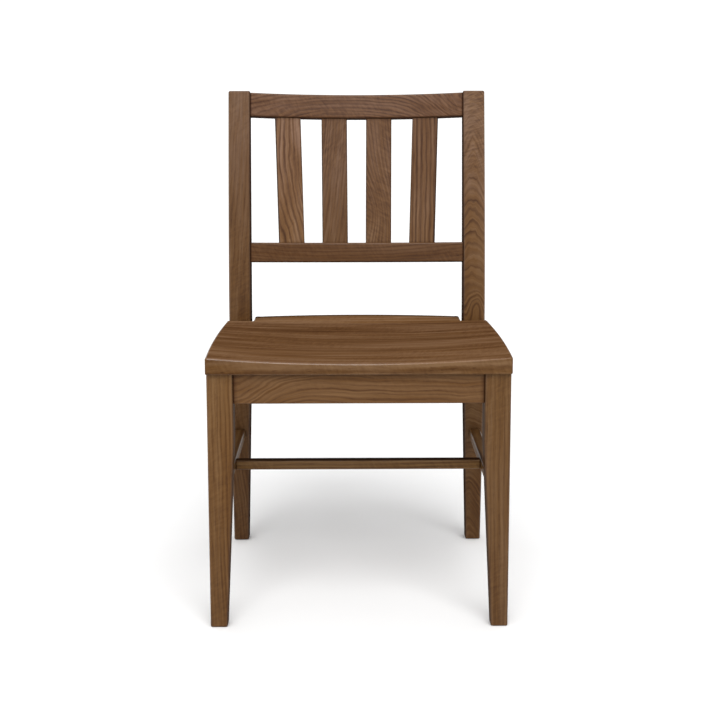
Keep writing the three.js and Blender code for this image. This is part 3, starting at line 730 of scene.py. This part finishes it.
def seatTop(x, y):
    # Top of the seat: a straight fall from front to rear, less a hollow that is a parabola from side to
    # side and fades by a squared cosine towards the back.
    back = seatBoard["tongueRear"] + rails["bow"]
    edge = mix(seatBoard["frontTop"], seatBoard["rearTop"], ramp(y, seatBoard["front"], seatBoard["ear"]))
    fade = np.cos(np.pi / 2 * ramp(y, seatBoard["scoopFadesFrom"], back)) ** 2
    return edge - seatBoard["scoop"] * fade * np.clip(1 - (x / seatHalf(y)) ** 2, 0, 1)


def cornerArc(x, y, radius, start, end, steps):
    # points of a circle between two directions, in degrees
    turn = np.radians(np.linspace(start, end, steps))
    return np.column_stack([x + radius * np.cos(turn), y + radius * np.sin(turn)])


def unit(directions):
    # each direction divided by its length
    return directions / np.linalg.norm(directions, axis=1)[:, None]


def seatOutline():
    # Right half of the outline, from the middle of the front edge round to the middle of the rear edge:
    # straight and curved stretches joined by rounded corners. The left half is its mirror.
    board, count = seatBoard, seatMesh
    small = count["smallCorner"]
    r = board["cornerRound"]
    frontHalf = float(seatHalf(board["front"] + r))
    x = np.linspace(0, frontHalf - r, count["front"], endpoint=False)
    front = np.column_stack([x, np.full(len(x), board["front"])])
    corner = cornerArc(frontHalf - r, board["front"] + r, r, -90, 0, count["corner"])
    e = board["earRound"]
    y = np.linspace(board["front"] + r, board["ear"] - e, count["side"])[1:-1]
    side = np.column_stack([seatHalf(y), y])
    earX = float(seatHalf(board["ear"] - e)) - e
    ear = cornerArc(earX, board["ear"] - e, e, 0, 90, small)
    n = board["notchRound"]
    innerEnd = board["tongueHalf"] + n
    x = np.linspace(earX, innerEnd, count["shelf"])[1:-1]
    shelf = np.column_stack([x, np.full(len(x), board["ear"])])
    notch = cornerArc(innerEnd, board["ear"] + n, n, 270, 180, small)
    k = board["tongueRound"]
    heelY = board["tongueRear"] - k / 2
    y = np.linspace(board["ear"] + n, heelY, count["cheek"])[1:-1]
    cheek = np.column_stack([np.full(len(y), board["tongueHalf"]), y])
    heel = cornerArc(board["tongueHalf"] - k, heelY, k, 0, 90, small)
    x = np.linspace(board["tongueHalf"] - k, 0, count["rear"])[1:]
    rear = np.column_stack([x, seatRear(x)])
    half = np.concatenate([front, corner, side, ear, shelf, notch, cheek, heel, rear])
    return np.concatenate([half, (half * [-1, 1])[-2:0:-1]])


def makeSeat():
    # Rings of the outline drawn in by distance along its normal for the rounded edges, and in shares
    # towards the middle for the top and the underside.
    board, count = seatBoard, seatMesh
    topRound, underRound, bottom = board["topRound"], board["underRound"], board["under"]
    outline = seatOutline()
    ahead = np.roll(outline, -1, 0) - outline
    behind = outline - np.roll(outline, 1, 0)
    tangent = unit(unit(ahead) + unit(behind))
    outward = np.column_stack([tangent[:, 1], -tangent[:, 0]])
    middle = np.array(board["middle"][:2])
    faceShares = np.linspace(count["faceFrom"], count["faceTo"], count["faceRings"])
    shares = np.concatenate([faceShares, count["faceRim"]])[:, None, None]
    inset = outline - outward * topRound
    face = middle + (inset - middle) * shares
    faceTop = seatTop(face[..., 0], face[..., 1])
    turn = np.linspace(0, np.pi / 2, count["roundSteps"] + 1)[:, None, None]
    rim = outline - outward * topRound * (1 - np.sin(turn))
    rimTop = seatTop(rim[..., 0], rim[..., 1]) - topRound * (1 - np.cos(turn[..., 0]))
    edgeTop = seatTop(outline[:, 0], outline[:, 1]) - topRound
    drop = np.array(count["wallRings"])[:, None]
    wallTop = mix(edgeTop, bottom + underRound, drop)
    wall = np.broadcast_to(outline, (len(drop), *outline.shape))
    underTurn = turn[::2]
    under = outline - outward * underRound * (1 - np.cos(underTurn))
    underTop = bottom + underRound * (1 - np.sin(underTurn[..., 0])) + 0 * outline[:, 0]
    lowInset = outline - outward * underRound
    lowShares = np.linspace(count["underFrom"], count["underTo"], count["underRings"])
    low = middle + (lowInset - middle) * lowShares[:, None, None]
    plan = np.concatenate([face, rim, wall, under, low])
    heights = np.concatenate([faceTop, rimTop, wallTop, underTop, np.full(low.shape[:2], bottom)])
    rings = np.concatenate([plan, heights[..., None]], -1)[::-1]
    x, y = rings[..., 0], rings[..., 1]
    wear = np.concatenate([np.zeros(len(face)), np.sin(2 * turn[:, 0, 0]), np.zeros(len(drop)),
                           board["underWear"] * np.sin(2 * underTurn[:, 0, 0]), np.zeros(len(low))])
    # the front edge is worn most on the left
    wear = wear[::-1, None] * (1 - board["wearLost"] * ramp(x, *board["wearLostBetween"]))
    # the painted light of the top ends over the rounded edge, by the cosine of its turn
    belowRim = np.zeros(len(rings) - len(face) - len(turn))
    top = np.concatenate([np.ones(len(face)), np.cos(turn[:, 0, 0]), belowRim])[::-1, None]
    # painted shade where the seat meets the posts, and along the rear edge
    darkFrom, darkTo = board["postShade"]
    beside = ramp(y, board["ear"] - darkFrom, board["ear"] - darkTo) * (np.abs(x) > board["tongueHalf"])
    toRear = seatRear(np.clip(x, -board["tongueHalf"], board["tongueHalf"])) - y
    rear = board["rearShadeShare"] * (1 - ramp(toRear, board["rearShade"] / 4, board["rearShade"]))
    rear = rear * (np.abs(x) < board["tongueHalf"] + 1)
    return closedTube("seat_wood", rings, {"wear": wear, "nook": np.maximum(beside, rear), "top": top})


# the top tint paints light on the seat's upper face
seatLog = {"seed": 53.6, "pith": (0.16, 0.2), "tilt": 0.004, "warp": 0.007, "rings": 0.24, "broad": 0.9,
           # boards: their width, where they start, how they differ in tone, and their shifts in the log
           "boards": 0.094, "boardShift": 0.31, "boardTone": 0.24, "boardJump": (0.9, 0.05),
           "roughness": 0.46, "gloss": 0.0, "edgeShine": 1.0, "coatRoughness": 0.16,
           "low": (1.0, 1.0, 1.0, 1), "tint": (1.14, 1.26, 1.22, 1), "topLightTint": (1.36, 1.33, 1.40, 1)}
settle(makeSeat(), "seat", seatBoard["middle"], "x", seatLog)
print("seat made")

# nook paints shade at the aprons' ends against the legs, and shaded paints it on the undersides of the front
# and rear aprons
apron = {"bottom": 373.2, "top": 421.7, "thick": 20.0, "setback": 2.5, "edgeRound": 1.6, "gap": 0.3,
         "ends": (0.9, 0.9), "nook": 5.0, "shaded": (0, 0, 0, 0.6)}
sideApron = {**apron, "nook": 2.2, "shaded": (0, 0, 0, 0)}


def straightStation(start, direction, width, depth, halfWidth, halfDepth):
    # the same rectangle all along a straight line
    start, direction = np.array(start, float), np.array(direction, float)

    def station(t):
        return start + t[:, None] * direction, width, depth, halfWidth, halfDepth
    return station


apronMiddle = (apron["bottom"] + apron["top"]) / 2
apronTall = (apron["top"] - apron["bottom"]) / 2
acrossHalf = {"front_apron": frontLeg["outer"] - frontLeg["size"] - apron["gap"],
              "rear_apron": post["inner"] - apron["gap"]}
apronY = {"front_apron": apron["setback"] + apron["thick"] / 2,
          "rear_apron": post["seatFront"] + float(postDepth(np.array(post["seatLevel"]))) - apron["setback"]
          - apron["thick"] / 2}
apronLogs = {
    "front_apron": {"seed": 59.1, "pith": (-0.11, 0.05), "tilt": 0.01, "warp": 0.02, "warpAlong": 7,
                    "wobble": 0.006, "rings": 0.2, "ringSpacing": 0.0056, "ripples": 0.15, "fibres": 0.6,
                    "tint": (1.09, 1.13, 1.06, 1),
                    "knots": [{"at": (-0.2, 0.0, -0.02), "long": 0.07, "wide": 0.06, "swell": 0.04}]},
    "rear_apron": {"seed": 61.7, "pith": (0.12, 0.06), "tilt": 0.01},
    "side_apron_left": {"seed": 67.2, "pith": (0.12, 0.04), "tilt": 0.012},
    "side_apron_right": {"seed": 71.4, "pith": (-0.12, 0.04), "tilt": 0.01},
}
for node, half in acrossHalf.items():
    station = straightStation((-half, apronY[node], apronMiddle), (1, 0, 0), (0, 1, 0), (0, 0, 1),
                              apron["thick"] / 2, apronTall)
    frameBar(node, station, 2 * half, apron, (0, apronY[node], apronMiddle), "x", apronLogs[node])

sideApronX = frontLeg["outer"] - apron["setback"] - apron["thick"] / 2
for sideName, side in sides.items():
    node = f"side_apron_{sideName}"
    start = frontLeg["size"] + apron["gap"]
    length = post["seatFront"] - apron["gap"] - start
    station = straightStation((side * sideApronX, start, apronMiddle), (0, 1, 0), (0, 0, 1), (1, 0, 0),
                              apronTall, apron["thick"] / 2)
    centre = (side * sideApronX, start + length / 2, apronMiddle)
    frameBar(node, station, length, sideApron, centre, "y", apronLogs[node])

# nook paints shade at the stretchers' ends, and the cross stretcher's shaded paints it on its top and
# underside
stretcher = {"bottom": 215.0, "top": 232.0, "sideX": 223.5, "sideHalf": 10.0, "crossY": 200.0,
             "crossHalf": 9.0, "edgeRound": 2.6, "gap": 0.3, "ends": (0.4, 0.4), "nook": 2.2,
             "shearedEnd": 0.02}
crossShape = {**stretcher, "ends": (0.5, 0.5), "shaded": (0, 0.9, 0, 0.3)}
stretcherMiddle = (stretcher["bottom"] + stretcher["top"]) / 2
stretcherTall = (stretcher["top"] - stretcher["bottom"]) / 2
legSlope = (frontLeg["size"] - frontLeg["foot"]) / frontLeg["taperFrom"]


def sideStretcherStation(side, start, end):
    # level bar from the leg to the post, with its end faces sheared to their slopes
    def station(t):
        share = t / (end - start)
        slope = mix(legSlope, post["slope"][0], share)
        at = vector(side * stretcher["sideX"], start + t, stretcherMiddle)
        width = vector(0, np.where(np.minimum(share, 1 - share) < stretcher["shearedEnd"], slope, 0), 1)
        return at, width, (1, 0, 0), stretcherTall, stretcher["sideHalf"]
    return station


stretcherLogs = {
    "left": {"seed": 73.3, "pith": (0.12, 0.05), "tilt": 0.01, "tint": (1.2, 1.32, 1.28, 1)},
    "right": {"seed": 79.8, "pith": (0.1, 0.05), "tilt": -0.01, "tint": (1.2, 1.32, 1.28, 1)},
}
for sideName, side in sides.items():
    node = f"side_stretcher_{sideName}"
    start = float(frontLegSize(np.array(stretcherMiddle))) + stretcher["gap"]
    end = float(postFront(stretcherMiddle)) - stretcher["gap"]
    centre = (side * stretcher["sideX"], stretcher["crossY"], stretcherMiddle)
    frameBar(node, sideStretcherStation(side, start, end), end - start, stretcher,
             centre, "y", stretcherLogs[sideName])

crossHalfLong = stretcher["sideX"] - stretcher["sideHalf"] - stretcher["gap"]
station = straightStation((-crossHalfLong, stretcher["crossY"], stretcherMiddle), (1, 0, 0), (0, 1, 0),
                          (0, 0, 1), stretcher["crossHalf"], stretcherTall)
crossLog = {"seed": 83.5, "pith": (0.12, 0.05), "tilt": 0.008, "tint": (1.26, 1.45, 1.4, 1)}
frameBar("cross_stretcher", station, 2 * crossHalfLong, crossShape,
         (0, stretcher["crossY"], stretcherMiddle), "x", crossLog)
print("aprons and stretchers made")

# Dowels and corner blocks are of plain, unstained wood.
plainWood = {**stain, "dark": (132, 100, 68), "shade": (160, 127, 91), "middle": (180, 147, 108),
             "light": (198, 167, 127), "worn": (214, 188, 150), "paintedShade": (150, 116, 80),
             "rings": 0.3, "fibres": 0.4, "pores": 0.1, "gloss": 0.05, "roughness": 0.7,
             "tint": (1, 1, 1, 1)}
plainLog = {"seed": 91.0, "pith": (0.2, 0.1), "tilt": 0.01}
plainMiddle = (0, 200, 400)

zinc = {
    "dull": (128, 130, 128), "bright": (196, 197, 190), "stopsAt": (0.3, 0.7),
    "clouds": 420.0, "turningMarks": (300, 300, 4200),      # cycles for each metre
    "roughness": 0.25, "cloudSheen": 0.25, "markSheen": 0.08, "bump": 0.2, "bumpHeight": 0.0001,
}


def zincMaterial():
    # Plated steel: a ramp of two greys read at a cloudy noise. The same noise makes the dull parts
    # rougher, and a noise drawn out across the screw gives fine turning marks.
    paint = Paint("zinc_plating")
    spot = paint.node("ShaderNodeTexCoord", {}, {}, "Object")
    cloud = paint.noise(spot, zinc["clouds"], 3.0, 0.6)
    mark = paint.noise(paint.stretch(spot, zinc["turningMarks"]), 1.0, 2.0, 0.5)
    stops = list(zip(zinc["stopsAt"], [linear(*zinc["dull"]), linear(*zinc["bright"])]))
    colour = paint.node("ShaderNodeValToRGB", {"stops": stops}, {"Fac": cloud})
    normal = paint.node("ShaderNodeBump", {}, {"Strength": zinc["bump"], "Distance": zinc["bumpHeight"],
                                               "Height": mark})
    roughness = zinc["roughness"] + cloud * zinc["cloudSheen"] + mark * zinc["markSheen"]
    return paint.finish({"Base Color": colour, "Roughness": roughness, "Metallic": 1.0, "Normal": normal})


plainMaterial = woodMaterial("plain_wood", plainMiddle, "x", plainLog, plainWood)
zincPlating = zincMaterial()
for node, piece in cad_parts.items():
    if node.startswith(("dowel", "corner_block")):
        piece.data.materials.clear()
        piece.data.materials.append(plainMaterial)
    if node.startswith("screw"):
        piece.data.materials.clear()
        piece.data.materials.append(zincPlating)
print("small parts painted")

studio = {
    # floor: half its size, how far it lies below the feet, squares to a side, and its paint
    "floorHalf": 60.0, "floorBelow": 0.0004, "floorSquares": 24, "floorTone": (243, 243, 243),
    "floorShade": 0.97, "floorClouds": 3.0, "floorGrit": 900.0, "floorRoughness": 0.7,
    "floorCloudSheen": 0.1, "floorSpecular": 0.1, "floorBump": 0.1, "floorBumpHeight": 0.0002,
    # surround: strength below and above the horizon, and the sines of the angles between which it changes
    "horizon": 1.12, "ceiling": 0.75, "horizonEnds": (0.07, 0.11),
    # two lamps: power, direction it comes from, and size as seen from the chair, in degrees
    "keyPower": 2.4, "keyFrom": (0.1, -1.0, 1.0), "keySoftness": 46.0,
    "fillPower": 0.8, "fillFrom": (-0.6, -1.0, 0.35), "fillSoftness": 60.0, "lampDistance": 3.0,
}


def makeFloor():
    # Flat sheet of squares just under the feet. Its colour is mixed from two near whites by a cloudy
    # noise, which also varies the roughness, and fine grit is its bump.
    squares = studio["floorSquares"]
    line = np.linspace(-studio["floorHalf"], studio["floorHalf"], squares + 1)
    x, y = np.meshgrid(line, line, indexing="ij")
    points = vector(x, y, -studio["floorBelow"]).reshape(-1, 3)
    i = np.arange(squares)[:, None] * (squares + 1)
    j = np.arange(squares)[None]
    after = i + squares + 1
    quads = np.stack([i + j, after + j, after + j + 1, i + j + 1], -1).reshape(-1, 4)
    mesh = bpy.data.meshes.new("studio_floor")
    mesh.from_pydata(points.tolist(), [], quads.tolist())
    floor = bpy.data.objects.new("studio_floor", mesh)
    bpy.context.scene.collection.objects.link(floor)
    paint = Paint("pale_floor")
    spot = paint.node("ShaderNodeTexCoord", {}, {}, "Object")
    cloud = paint.noise(spot, studio["floorClouds"], 4.0, 0.5)
    grit = paint.noise(spot, studio["floorGrit"], 2.0, 0.5)
    tone = linear(*studio["floorTone"])
    shade = [value * studio["floorShade"] for value in tone[:3]] + [1]
    normal = paint.node("ShaderNodeBump", {}, {"Strength": studio["floorBump"], "Height": grit,
                                               "Distance": studio["floorBumpHeight"]})
    mesh.materials.append(paint.finish({
        "Base Color": paint.blend("MIX", cloud, tone, shade), "Normal": normal,
        "Roughness": studio["floorRoughness"] + cloud * studio["floorCloudSheen"],
        "Specular IOR Level": studio["floorSpecular"]}))


def makeLamp(name, comesFrom, softness, power):
    # a far softbox: a sun whose disc is as many degrees across as its softness
    data = bpy.data.lights.new(name, "SUN")
    data.angle = math.radians(softness)
    data.energy = power
    lamp = bpy.data.objects.new(name, data)
    lamp.rotation_euler = (-Vector(comesFrom)).to_track_quat("-Z", "Y").to_euler()
    lamp.location = Vector(comesFrom) * studio["lampDistance"]
    bpy.context.scene.collection.objects.link(lamp)


def makeSurround():
    # a white backdrop up to just above the horizon, and a dimmer room above it
    world = bpy.data.worlds.new("studio_surround")
    world.use_nodes = True
    tree = world.node_tree
    spot = tree.nodes.new("ShaderNodeTexCoord")
    split = tree.nodes.new("ShaderNodeSeparateXYZ")
    level = tree.nodes.new("ShaderNodeMapRange")
    level.inputs["From Min"].default_value, level.inputs["From Max"].default_value = studio["horizonEnds"]
    level.inputs["To Min"].default_value = studio["horizon"]
    level.inputs["To Max"].default_value = studio["ceiling"]
    tree.links.new(spot.outputs["Generated"], split.inputs["Vector"])
    tree.links.new(split.outputs["Z"], level.inputs["Value"])
    tree.links.new(level.outputs["Result"], tree.nodes["Background"].inputs["Strength"])
    tree.nodes["Background"].inputs["Color"].default_value = (1, 1, 1, 1)
    bpy.context.scene.world = world


# The camera: metres to the side, in front of the front legs and above the floor, and turns in radians.
viewer = {"x": -0.0181, "beforeLegs": 2.26, "height": 0.8622, "lookDown": 0.1674, "lookRight": 0.0090,
          "roll": 0.0013, "lens": 72.35, "sensor": 36.0, "shift": -0.0308}


def makeCamera():
    # stands in front of the chair, a little above its back, and looks slightly down
    data = bpy.data.cameras.new("camera")
    data.lens = viewer["lens"]
    data.sensor_width = viewer["sensor"]
    data.shift_y = viewer["shift"]
    camera = bpy.data.objects.new("camera", data)
    camera.location = (viewer["x"], moveY * mm - viewer["beforeLegs"], viewer["height"])
    camera.rotation_euler = (math.pi / 2 - viewer["lookDown"], viewer["roll"], -viewer["lookRight"])
    bpy.context.scene.collection.objects.link(camera)
    bpy.context.scene.camera = camera


makeFloor()
makeSurround()
makeLamp("key", studio["keyFrom"], studio["keySoftness"], studio["keyPower"])
makeLamp("fill", studio["fillFrom"], studio["fillSoftness"], studio["fillPower"])
makeCamera()
bpy.context.scene.view_settings.view_transform = "Standard"
print("studio made")
